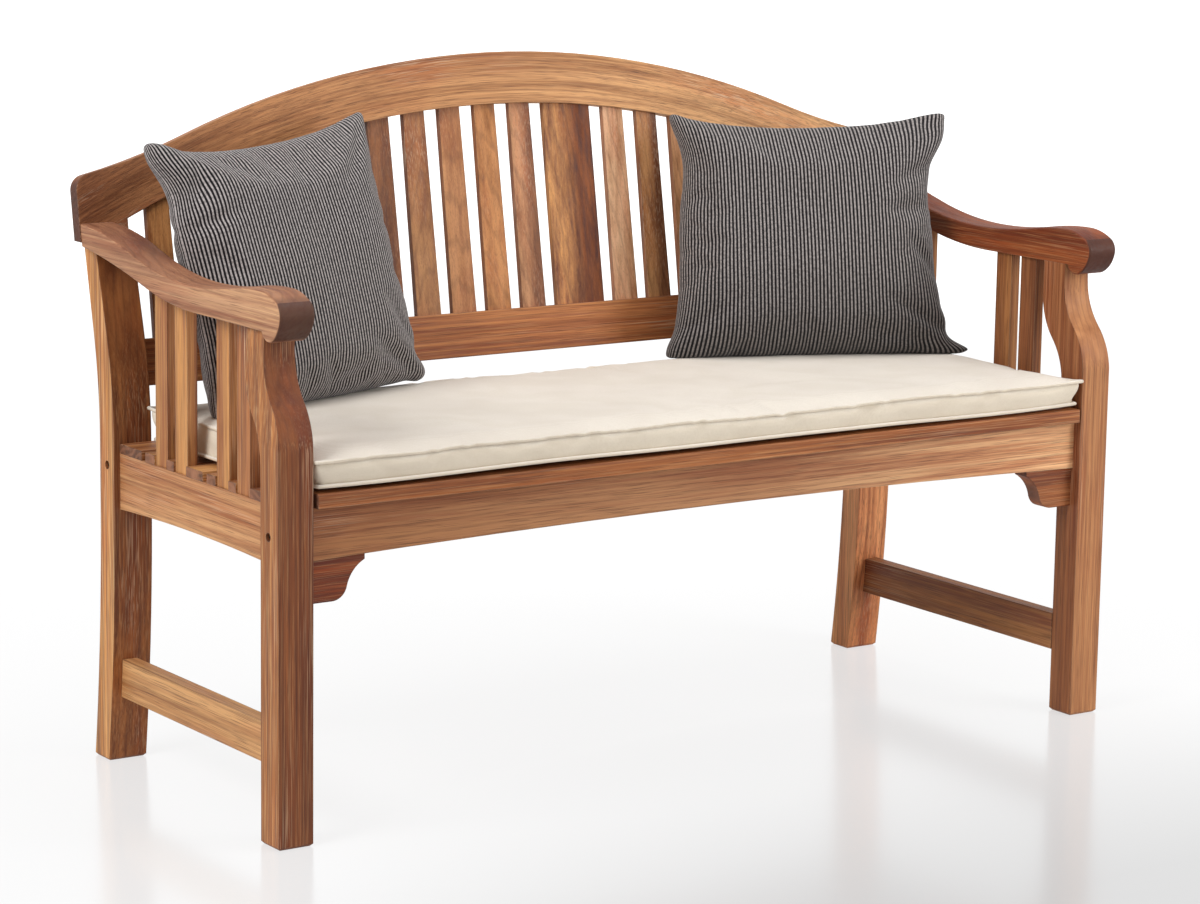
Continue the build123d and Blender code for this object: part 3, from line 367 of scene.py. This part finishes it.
def stuff(piece, pinned, pressure, slack, cap):
    """Fills a closed cloth piece by simulation; no point moves further than the cap."""
    filling_frames = 20
    start = [vertex.co.copy() for vertex in piece.data.vertices]
    group = piece.vertex_groups.new(name="pinned")
    for index, weight in pinned.items():
        group.add([index], weight, "REPLACE")
    cloth = piece.modifiers.new("cloth", "CLOTH")
    cloth.settings.vertex_group_mass = "pinned"
    cloth.settings.use_pressure = True
    cloth.settings.uniform_pressure_force = pressure
    cloth.settings.shrink_min = -slack
    cloth.settings.effector_weights.gravity = 0
    cloth.settings.quality = 6
    cloth.settings.mass = 0.3
    cloth.settings.bending_stiffness = 0.5
    cloth.collision_settings.use_collision = False
    cloth.point_cache.frame_start = 1
    cloth.point_cache.frame_end = filling_frames
    for number in range(1, filling_frames + 1):
        scene.frame_set(number)
    filled = piece.evaluated_get(bpy.context.evaluated_depsgraph_get()).to_mesh()
    ends = [vertex.co.copy() for vertex in filled.vertices]
    piece.modifiers.remove(cloth)
    scene.frame_set(1)
    for vertex, first, last in zip(piece.data.vertices, start, ends):
        move = last - first
        vertex.co = first + move * min(1, cap / max(move.length, 1e-9))


def tube(name, points, radius, body, slot, material):
    """Closed round cord through the points, such as piping on a seam."""
    curve = bpy.data.curves.new(name, "CURVE")
    curve.dimensions = "3D"
    curve.bevel_depth = radius
    curve.bevel_resolution = 2
    spline = curve.splines.new("POLY")
    spline.points.add(len(points) - 1)
    for target, point in zip(spline.points, points):
        target.co = (*point, 1)
    spline.use_cyclic_u = True
    return shown(name, curve, body, slot, material)


cushion_low, cushion_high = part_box("seat_cushion")
nosing_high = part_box("seat_nosing")[1]
cushion_middle_y = (cushion_low.y + cushion_high.y) / 2
cushion_edge_z = cushion_high.z - 0.0062
step_y = nosing_high.y + 0.003
step_run = 0.015
cushion_cells = (112, 40, 5)
cushion_pull = 0.004
boxing_bulge = 0.0035
cushion_crown = 0.0055
seam_inset = 0.003
clearance = 0.0006
piping_radius = 0.0024
piping_reach = 0.0012


def cushion_point(u, v, w):
    """Point of the cushion's surface for a point of a cube from -1 to 1."""
    half_x = (cushion_high.x - cushion_low.x) / 2 - seam_inset
    half_y = (cushion_high.y - cushion_low.y) / 2 - seam_inset
    draw_x = cushion_pull * (1 - v * v)
    draw_y = cushion_pull * (1 - u * u)
    tuck = 0.005 * ((1 - w) / 2) ** 2
    corner = (0.001 - 0.005 * w) * (u * v) ** 12
    swell = boxing_bulge * (1 - w * w) - tuck
    x = u * (half_x - draw_x * abs(u) ** 6 - corner) + math.copysign(swell * abs(u) ** 40, u)
    y = cushion_middle_y + v * (half_y - draw_y * abs(v) ** 6 - corner)
    y += math.copysign(swell * abs(v) ** 20, v)
    down = min(1, max(0, (y - step_y) / step_run))
    floor_z = nosing_high.z * (1 - down) + cushion_low.z * down + clearance
    ripple = 0.0014 * noise.noise((x * 5, y * 9, 0.3)) + 0.0006 * noise.noise((x * 26, y * 30, 1.7))
    edge = max(abs(u) ** 20, abs(v) ** 16)
    seam = 0.0026 * noise.noise((x * 9 + 4.1, y * 9, 7.7)) * edge
    floor_z += (0.0045 + 0.003 * noise.noise((x * 4, y * 4, 2.6))) * edge
    crown = cushion_crown * (1 - abs(v) ** 12) * (1 - abs(u) ** 30) + ripple * (1 - (u * v) ** 4)
    top_z = min(cushion_edge_z + crown + seam + 0.0015 * (u * v) ** 30, cushion_high.z)
    return Vector((x, y, floor_z + (top_z - floor_z) * (w + 1) / 2))


def closed_grid(cells, place):
    """Closed box of square cells, each corner put where place() says; keeps the grid places."""
    mesh = bpy.data.meshes.new("grid")
    shell = bmesh.new()
    corners = {}

    def corner(i, j, k):
        key = (i, j, k)
        if key not in corners:
            grid = [2 * a / b - 1 for a, b in zip(key, cells)]
            corners[key] = shell.verts.new(place(*grid))
        return corners[key]

    def face(*places):
        shell.faces.new([corner(*spot) for spot in places])

    nx, ny, nz = cells
    for i in range(nx):
        for j in range(ny):
            a, b = i + 1, j + 1
            face((i, j, nz), (a, j, nz), (a, b, nz), (i, b, nz))
            face((i, b, 0), (a, b, 0), (a, j, 0), (i, j, 0))
    for k in range(nz):
        c = k + 1
        for i in range(nx):
            a = i + 1
            face((i, 0, k), (a, 0, k), (a, 0, c), (i, 0, c))
            face((i, ny, c), (a, ny, c), (a, ny, k), (i, ny, k))
        for j in range(ny):
            b = j + 1
            face((0, j, c), (0, b, c), (0, b, k), (0, j, k))
            face((nx, j, k), (nx, b, k), (nx, b, c), (nx, j, c))
    shell.verts.index_update()
    numbers = {key: vertex.index for key, vertex in corners.items()}
    shell.to_mesh(mesh)
    shell.free()
    return mesh, numbers


def rim(cells, level):
    """Grid places once round a closed grid, at one level of its boxing."""
    nx, ny, _ = cells
    front = [(i, 0, level) for i in range(nx)]
    right = [(nx, j, level) for j in range(ny)]
    back = [(i, ny, level) for i in range(nx, 0, -1)]
    left = [(0, j, level) for j in range(ny, 0, -1)]
    return front + right + back + left


cream = canvas()
cushion_mesh, cushion_numbers = closed_grid(cushion_cells, cushion_point)
cushion = shown("box_cushion", cushion_mesh, "seat_cushion", "cushion_fabric", cream)
held = {number: 1.0 for key, number in cushion_numbers.items() if key[2] == 0}
held.update({cushion_numbers[key]: 0.6 for key in rim(cushion_cells, cushion_cells[2])})
stuff(cushion, held, pressure=2.0, slack=0.012, cap=0.004)
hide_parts("seat_cushion")
for label, level in (("top", cushion_cells[2]), ("bottom", 0)):
    seam = []
    for key in rim(cushion_cells, level):
        point = cushion.data.vertices[cushion_numbers[key]].co.copy()
        outward = Vector((point.x * 0.04, point.y - cushion_middle_y, 0)).normalized()
        lift = 0.0022 if level == 0 else 0.0002
        point += outward * piping_reach + Vector((0, 0, lift))
        seam.append(point)
    tube(f"cushion_{label}_piping", seam, piping_radius, "seat_cushion", "cushion_fabric", cream)
smooth = cushion.modifiers.new("smooth", "SUBSURF")
smooth.levels = smooth.render_levels = 1


# Throw pillows: two knife-edge pillows in black and pale grey striped seersucker, two
# panels closed by one seam all round. They lean back on the cushion, turned inwards.
# A dark and a pale stripe together are 4 to 4.5 mm wide on the real cloth, too fine to
# show in the render, so they are drawn 5 mm wide.
stripe_pair = 0.005


def seersucker(name, pale_code, foot):
    """Crinkled cotton in 2.5 mm stripes from foot to head; foot is how much of its tone
    is left at the foot, whose darkening is painted shade."""
    material, tree, shader = new_material(name)
    panel = add(tree, "UVMap", uv_map="panel")
    wobble = add(tree, "TexNoise", {"Vector": panel, "Scale": 260, "Detail": 2})
    across = add(tree, "SeparateXYZ", {0: panel})
    sideways = add(tree, "Math", {0: wobble, 1: 0.0006, 2: across}, operation="MULTIPLY_ADD")
    angle = add(tree, "Math", {0: sideways, 1: 2 * math.pi / stripe_pair}, operation="MULTIPLY")
    stripe = add(tree, "Math", {0: angle}, operation="SINE")
    drawn = add(tree, "Mapping", {"Vector": panel, "Scale": (150, 330, 1)})
    crimp = add(tree, "TexNoise", {"Vector": drawn, "Scale": 1.0, "Detail": 2})
    band = add(tree, "MapRange", {0: stripe, 1: 0.05, 2: 0.3})
    beads = add(tree, "MapRange", {0: crimp, 1: 0.36, 2: 0.56, 3: 0.6, 4: 1.0})
    pale = add(tree, "Math", {0: band, 1: beads}, operation="MULTIPLY")
    colour = add(tree, "Mix", {0: pale, 6: linear("#100E10"), 7: linear(pale_code)}, data_type="RGBA")
    thread = add(tree, "TexNoise", {"Vector": panel, "Scale": 1600, "Detail": 2})
    share = add(tree, "MapRange", {0: thread, 1: 0.4, 2: 0.7, 4: 0.2})
    colour = add(tree, "Mix", {0: share, 6: colour, 7: linear("#3C393B")}, data_type="RGBA")
    # The lower part of the panel painted darker: painted shade at the foot
    upward = add(tree, "SeparateXYZ", {0: panel}).node.outputs["Y"]
    share = add(tree, "MapRange", {0: upward, 1: 0.0, 2: 0.16, 3: foot, 4: 1.0})
    shade = add(tree, "CombineXYZ", {0: share, 1: share, 2: share})
    colour = add(tree, "Mix", {0: 1.0, 6: colour, 7: shade}, data_type="RGBA", blend_type="MULTIPLY")
    height = add(tree, "Math", {0: stripe, 1: 0.3, 2: crimp}, operation="MULTIPLY_ADD")
    bump = add(tree, "Bump", {"Height": height, "Strength": 0.4, "Distance": 0.0007})
    tree.links.new(bump, shader.inputs["Normal"])
    tree.links.new(colour, shader.inputs["Base Color"])
    shader.inputs["Roughness"].default_value = 0.92
    shader.inputs["Specular IOR Level"].default_value = 0.15
    shader.inputs["Sheen Weight"].default_value = 0.15
    return material


pillow_cells = 60
pillow_thickness = 0.118
pillow_fill_at_start = 0.9
pillow_sink = 0.004


def fold_depth(u, v, folds):
    """How deep the folds dent a panel at a place. Each fold has a middle, a turn in
    degrees, a length, a width and a depth."""
    total = 0
    for middle_u, middle_v, turn, length, width, depth in folds:
        turn = math.radians(turn)
        along = (u - middle_u) * math.cos(turn) + (v - middle_v) * math.sin(turn)
        off = (v - middle_v) * math.cos(turn) - (u - middle_u) * math.sin(turn)
        total += depth * math.exp(-(along / length) ** 2 - (off / width) ** 2)
    return total


def eased(value, start, stop):
    """Share from 0 to 1 between two values, with a soft start and end."""
    share = min(1, max(0, (value - start) / (stop - start)))
    return share * share * (3 - 2 * share)


def pillow_point(u, v, side, cut):
    """Point of a pillow's panel: u and v run from seam to seam, side is -1 at the front."""
    width, height = cut["size"]
    left, right, top = cut["draws"]
    half = width / 2 - cut["slump"] * (v + 1) / 2
    blunt = 0.01 * (u * v) ** 20
    x = u * (half - (right if u > 0 else left) * (1 - abs(v) ** 3) * u * u - blunt)
    z = height / 2 + v * (height / 2 - (top if v > 0 else 0) * (1 - abs(u) ** 2.4) * v * v - blunt)
    for edge_u, edge_v, out_x, out_z, reach in cut["ears"]:
        if u * edge_u > 0 and v * edge_v > 0:
            x += edge_u * out_x * eased(abs(v), 1 - reach, 1 - 0.3 * reach) * abs(u) ** 6
            z += edge_v * out_z * eased(abs(u), 1 - reach, 1 - 0.3 * reach) * abs(v) ** 6
    for edge, middle, length, pull in cut["gathers"]:
        if u * edge > 0:
            x -= edge * pull * math.exp(-((v - middle) / length) ** 2) * abs(u) ** 5
    lower = v + 0.22 * (1 - v * v)
    lens = ((1 - abs(u) ** 3) * (1 - abs(lower) ** 2.8)) ** 0.44
    lump = 1 + 0.06 * noise.noise((u * 2.1, v * 2.3, side * 1.9 + width * 9))
    depth = pillow_thickness / 2 * pillow_fill_at_start * lens * lump
    pucker = 0.0016 * noise.noise((u * 13, v * 13, 3.1)) * max(abs(u), abs(v)) ** 6
    depth -= fold_depth(u, v, cut["folds"]) * lens ** 0.5
    return Vector((x, side * max(depth + pucker * lens, 0), z))


def pillow_shell(cut):
    """Two panels of square cells that share their seam, with each panel's flat cloth as UV."""
    mesh = bpy.data.meshes.new("pillow")
    shell = bmesh.new()
    cloth = shell.loops.layers.uv.new("panel")
    rows = {}

    def corner(i, j, side):
        at_seam = i in (0, pillow_cells) or j in (0, pillow_cells)
        key = (i, j, 0 if at_seam else side)
        if key not in rows:
            u, v = 2 * i / pillow_cells - 1, 2 * j / pillow_cells - 1
            rows[key] = shell.verts.new(pillow_point(u, v, key[2], cut))
        return rows[key]

    for side in (-1, 1):
        for i in range(pillow_cells):
            for j in range(pillow_cells):
                places = [(i, j), (i + 1, j), (i + 1, j + 1), (i, j + 1)]
                if side > 0:
                    places.reverse()
                shell.faces.new([corner(a, b, side) for a, b in places])
    lengths = [[0.0], [0.0]]
    for i in range(pillow_cells):
        middle = pillow_cells // 2
        across = rows[(i + 1, middle, -1 if 0 < i + 1 < pillow_cells else 0)].co
        across = across - rows[(i, middle, -1 if i else 0)].co
        up = rows[(middle, i + 1, -1 if 0 < i + 1 < pillow_cells else 0)].co
        up = up - rows[(middle, i, -1 if i else 0)].co
        lengths[0].append(lengths[0][-1] + across.length)
        lengths[1].append(lengths[1][-1] + up.length)
    places = {vertex: key for key, vertex in rows.items()}
    for face in shell.faces:
        for loop in face.loops:
            i, j, _ = places[loop.vert]
            loop[cloth].uv = (lengths[0][i], lengths[1][j])
    shell.verts.index_update()
    numbers = {key: vertex.index for key, vertex in rows.items()}
    shell.to_mesh(mesh)
    shell.free()
    return mesh, numbers


def pillow_seam(numbers):
    """Vertex numbers once round the seam, from the lower left corner."""
    n = pillow_cells
    places = [(i, 0) for i in range(n)] + [(n, j) for j in range(n)]
    places += [(i, n) for i in range(n, 0, -1)] + [(0, j) for j in range(n, 0, -1)]
    return [numbers[(i, j, 0)] for i, j in places]


def throw_pillow(side, cut):
    """One pillow, filled by simulation, then stood where its CAD solid stands."""
    node_name = f"{side}_pillow"
    mesh, numbers = pillow_shell(cut)
    piece = shown(f"{side}_throw_pillow", mesh, node_name, "striped_fabric", cut["cloth"])
    n = pillow_cells
    seam = pillow_seam(numbers)
    held = {number: 0.9 for number in seam}
    held.update({numbers[(i, j, 0)]: 1.0 for i in (0, n) for j in (0, n)})
    stuff(piece, held, pressure=2.2, slack=0.02, cap=0.008)
    turn, lean, tilt = [math.radians(angle) for angle in cut["angles"]]
    pose = Euler((-lean, 0, turn)).to_matrix() @ Matrix.Rotation(tilt, 3, "Y")
    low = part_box(node_name)[0]
    foot = Vector((*cut["foot"], low.z - pillow_sink))
    mesh.transform(Matrix.Translation(foot) @ pose.to_4x4())
    for vertex in mesh.vertices:
        vertex.co.z = max(vertex.co.z, low.z + clearance)
    mesh.update()
    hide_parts(node_name)
    soften = piece.modifiers.new("smooth", "SUBSURF")
    soften.levels = soften.render_levels = 1


# Each pillow's cut: how much narrower its head is (slump), how far its left, right and
# upper edges pull in (draws), where it stands, its turn, lean and tilt, its folds, its
# pulled-out corners (ears) and the places where the seam draws the cloth in (gathers)
throw_pillow("left", {
    "cloth": seersucker("striped_seersucker", "#B1A9A7", 1.0),
    "size": (0.381, 0.357),
    "slump": -0.004,
    "draws": (0.019, 0.017, 0.024),
    "foot": (-0.38133, 0.05936),
    "angles": (16.5, 15.0, -3.3),
    "folds": (
        (-0.84, 0.62, 55, 0.2, 0.06, 0.009),
        (-0.8, 0.4, 10, 0.2, 0.05, 0.006),
        (0.15, -0.86, 12, 0.3, 0.06, 0.008),
        (0.6, -0.8, -32, 0.25, 0.05, 0.01),
        (0.78, -0.62, -50, 0.2, 0.05, 0.007),
        (0.7, 0.74, 45, 0.3, 0.06, 0.005),
        (-0.5, 0.84, -20, 0.28, 0.06, 0.005),
    ),
    "ears": (
        (-1, 1, 0.012, 0.008, 0.3),
        (1, -1, 0.01, 0.006, 0.2),
        (1, 1, 0.003, 0.001, 0.12),
    ),
    "gathers": ((-1, 0.62, 0.12, 0.007), (1, -0.78, 0.08, 0.006)),
})
throw_pillow("right", {
    # The right pillow's cloth is a copy of the left one's with a darker pale stripe and a darker foot:
    # painted shade
    "cloth": seersucker("painted_shade_seersucker", "#A39B98", 0.5),
    "size": (0.415, 0.341),
    "slump": 0.008,
    "draws": (0.02, 0.03, 0.022),
    "foot": (0.37686, 0.04036),
    "angles": (-23.6, 13.0, -0.5),
    "folds": (
        (0.86, 0.5, 20, 0.2, 0.06, 0.01),
        (0.8, 0.18, 5, 0.24, 0.06, 0.007),
        (0.84, -0.22, -50, 0.22, 0.05, 0.01),
        (0.8, -0.72, -30, 0.3, 0.05, 0.01),
        (0.5, -0.84, -12, 0.3, 0.05, 0.007),
        (-0.84, -0.7, 30, 0.28, 0.06, 0.007),
        (-0.9, 0.5, 85, 0.3, 0.05, 0.005),
        (0.55, 0.84, 20, 0.25, 0.06, 0.005),
    ),
    "ears": (
        (1, 1, 0.006, 0, 0.5),
        (1, -1, 0.02, 0, 0.14),
        (-1, 1, 0, 0.003, 0.2),
        (-1, -1, 0.006, 0, 0.3),
    ),
    "gathers": (
        (-1, 0.6, 0.32, 0.011),
        (1, 0.74, 0.13, -0.006),
        (1, 0.3, 0.2, 0.005),
        (1, -0.8, 0.06, 0.005),
    ),
})


# Studio: a white, faintly glossy floor that runs out to a white background, a large soft
# lamp high on the left, weaker ones at the right front and overhead, and white light all round.
def pale_floor():
    """White floor, faintly glossy: to the camera it is nearly as white as the background,
    a little greyer in front of the seat, where a pool of shade is painted in, and quite white further
    out."""
    material, tree, shader = new_material("studio_floor")
    place = add(tree, "TexCoord").node.outputs["Object"]
    cloud = add(tree, "TexNoise", {"Vector": place, "Scale": 0.8, "Detail": 2})
    base = {0: cloud, 6: linear("#E6E6E8"), 7: linear("#EAEAEB")}
    tree.links.new(add(tree, "Mix", base, data_type="RGBA"), shader.inputs["Base Color"])
    shader.inputs["Roughness"].default_value = 0.6
    dim = {0: cloud, 6: linear("#686869"), 7: linear("#6C6C6C")}
    dim = add(tree, "Mix", dim, data_type="RGBA")
    # A pool of painted shade on the floor in front of the seat, greyest at its middle
    shade_pool = {0: place, 1: (0.2, -1.35, 0)}
    away = add(tree, "VectorMath", shade_pool, operation="DISTANCE").node.outputs["Value"]
    white_glow_and_shade_pool = add(tree, "MapRange", {0: away, 1: 0.5, 2: 1.3, 3: 0.45, 4: 0.67})
    far = add(tree, "VectorMath", {0: place}, operation="LENGTH").node.outputs["Value"]
    far = add(tree, "MapRange", {0: far, 1: 1.5, 2: 4.5})
    white_glow_and_shade_pool = add(tree, "Math", {0: white_glow_and_shade_pool, 1: far}, operation="MAXIMUM")
    seen = {"Base Color": dim, "Roughness": 0.17, "Specular IOR Level": 0.2,
            "Emission Color": (1, 1, 1, 1), "Emission Strength": white_glow_and_shade_pool}
    seen = add(tree, "BsdfPrincipled", seen)
    rays = add(tree, "LightPath").node.outputs
    share = add(tree, "Math", {0: rays["Is Camera Ray"], 1: rays["Is Glossy Ray"]}, operation="MAXIMUM")
    both = add(tree, "MixShader", {0: share, 1: shader.outputs[0], 2: seen})
    output = [made for made in tree.nodes if made.type == "OUTPUT_MATERIAL"][0]
    tree.links.new(both, output.inputs["Surface"])
    return material


def studio_floor():
    """Flat floor, 28 m square, tied to no body of the bench."""
    mesh = bpy.data.meshes.new("studio_floor")
    shell = bmesh.new()
    bmesh.ops.create_grid(shell, x_segments=8, y_segments=8, size=14)
    shell.to_mesh(mesh)
    shell.free()
    mesh.materials.append(pale_floor())
    floor = bpy.data.objects.new("studio_floor", mesh)
    scene.collection.objects.link(floor)


def soft_lamp(name, place, target, size, power):
    """Round soft lamp that looks at a target; its size is in metres and its power in watts."""
    lamp_data = bpy.data.lights.new(name, "AREA")
    lamp_data.shape = "DISK"
    lamp_data.size = size
    lamp_data.energy = power
    lamp = bpy.data.objects.new(name, lamp_data)
    scene.collection.objects.link(lamp)
    lamp.location = place
    lamp.rotation_euler = (Vector(target) - Vector(place)).to_track_quat("-Z", "Y").to_euler()


def white_world():
    """White light from all round, and plain white where the camera sees past the floor."""
    world = bpy.data.worlds.new("studio")
    world.use_nodes = True
    tree = world.node_tree
    tree.nodes.clear()
    rays = add(tree, "LightPath").node.outputs
    seen = add(tree, "Math", {0: rays["Is Camera Ray"], 1: rays["Is Glossy Ray"]}, operation="MAXIMUM")
    seen = add(tree, "Math", {0: seen, 1: rays["Is Transmission Ray"]}, operation="MAXIMUM")
    strength = add(tree, "MapRange", {0: seen, 3: 0.31, 4: 1.0})
    back = add(tree, "Background", {"Color": (1, 1, 1, 1), "Strength": strength})
    add(tree, "OutputWorld", {"Surface": back})
    scene.world = world


studio_floor()
soft_lamp("key_lamp", (-3.2, -0.6, 2.5), (0, 0, 0.4), 2.0, 92)
soft_lamp("fill_lamp", (1.7, -2.0, 1.3), (0.4, 0, 0.4), 1.4, 30)
soft_lamp("top_lamp", (0.3, -0.5, 3.3), (0, 0, 0.4), 2.4, 42)
white_world()
scene.view_settings.view_transform = "Standard"
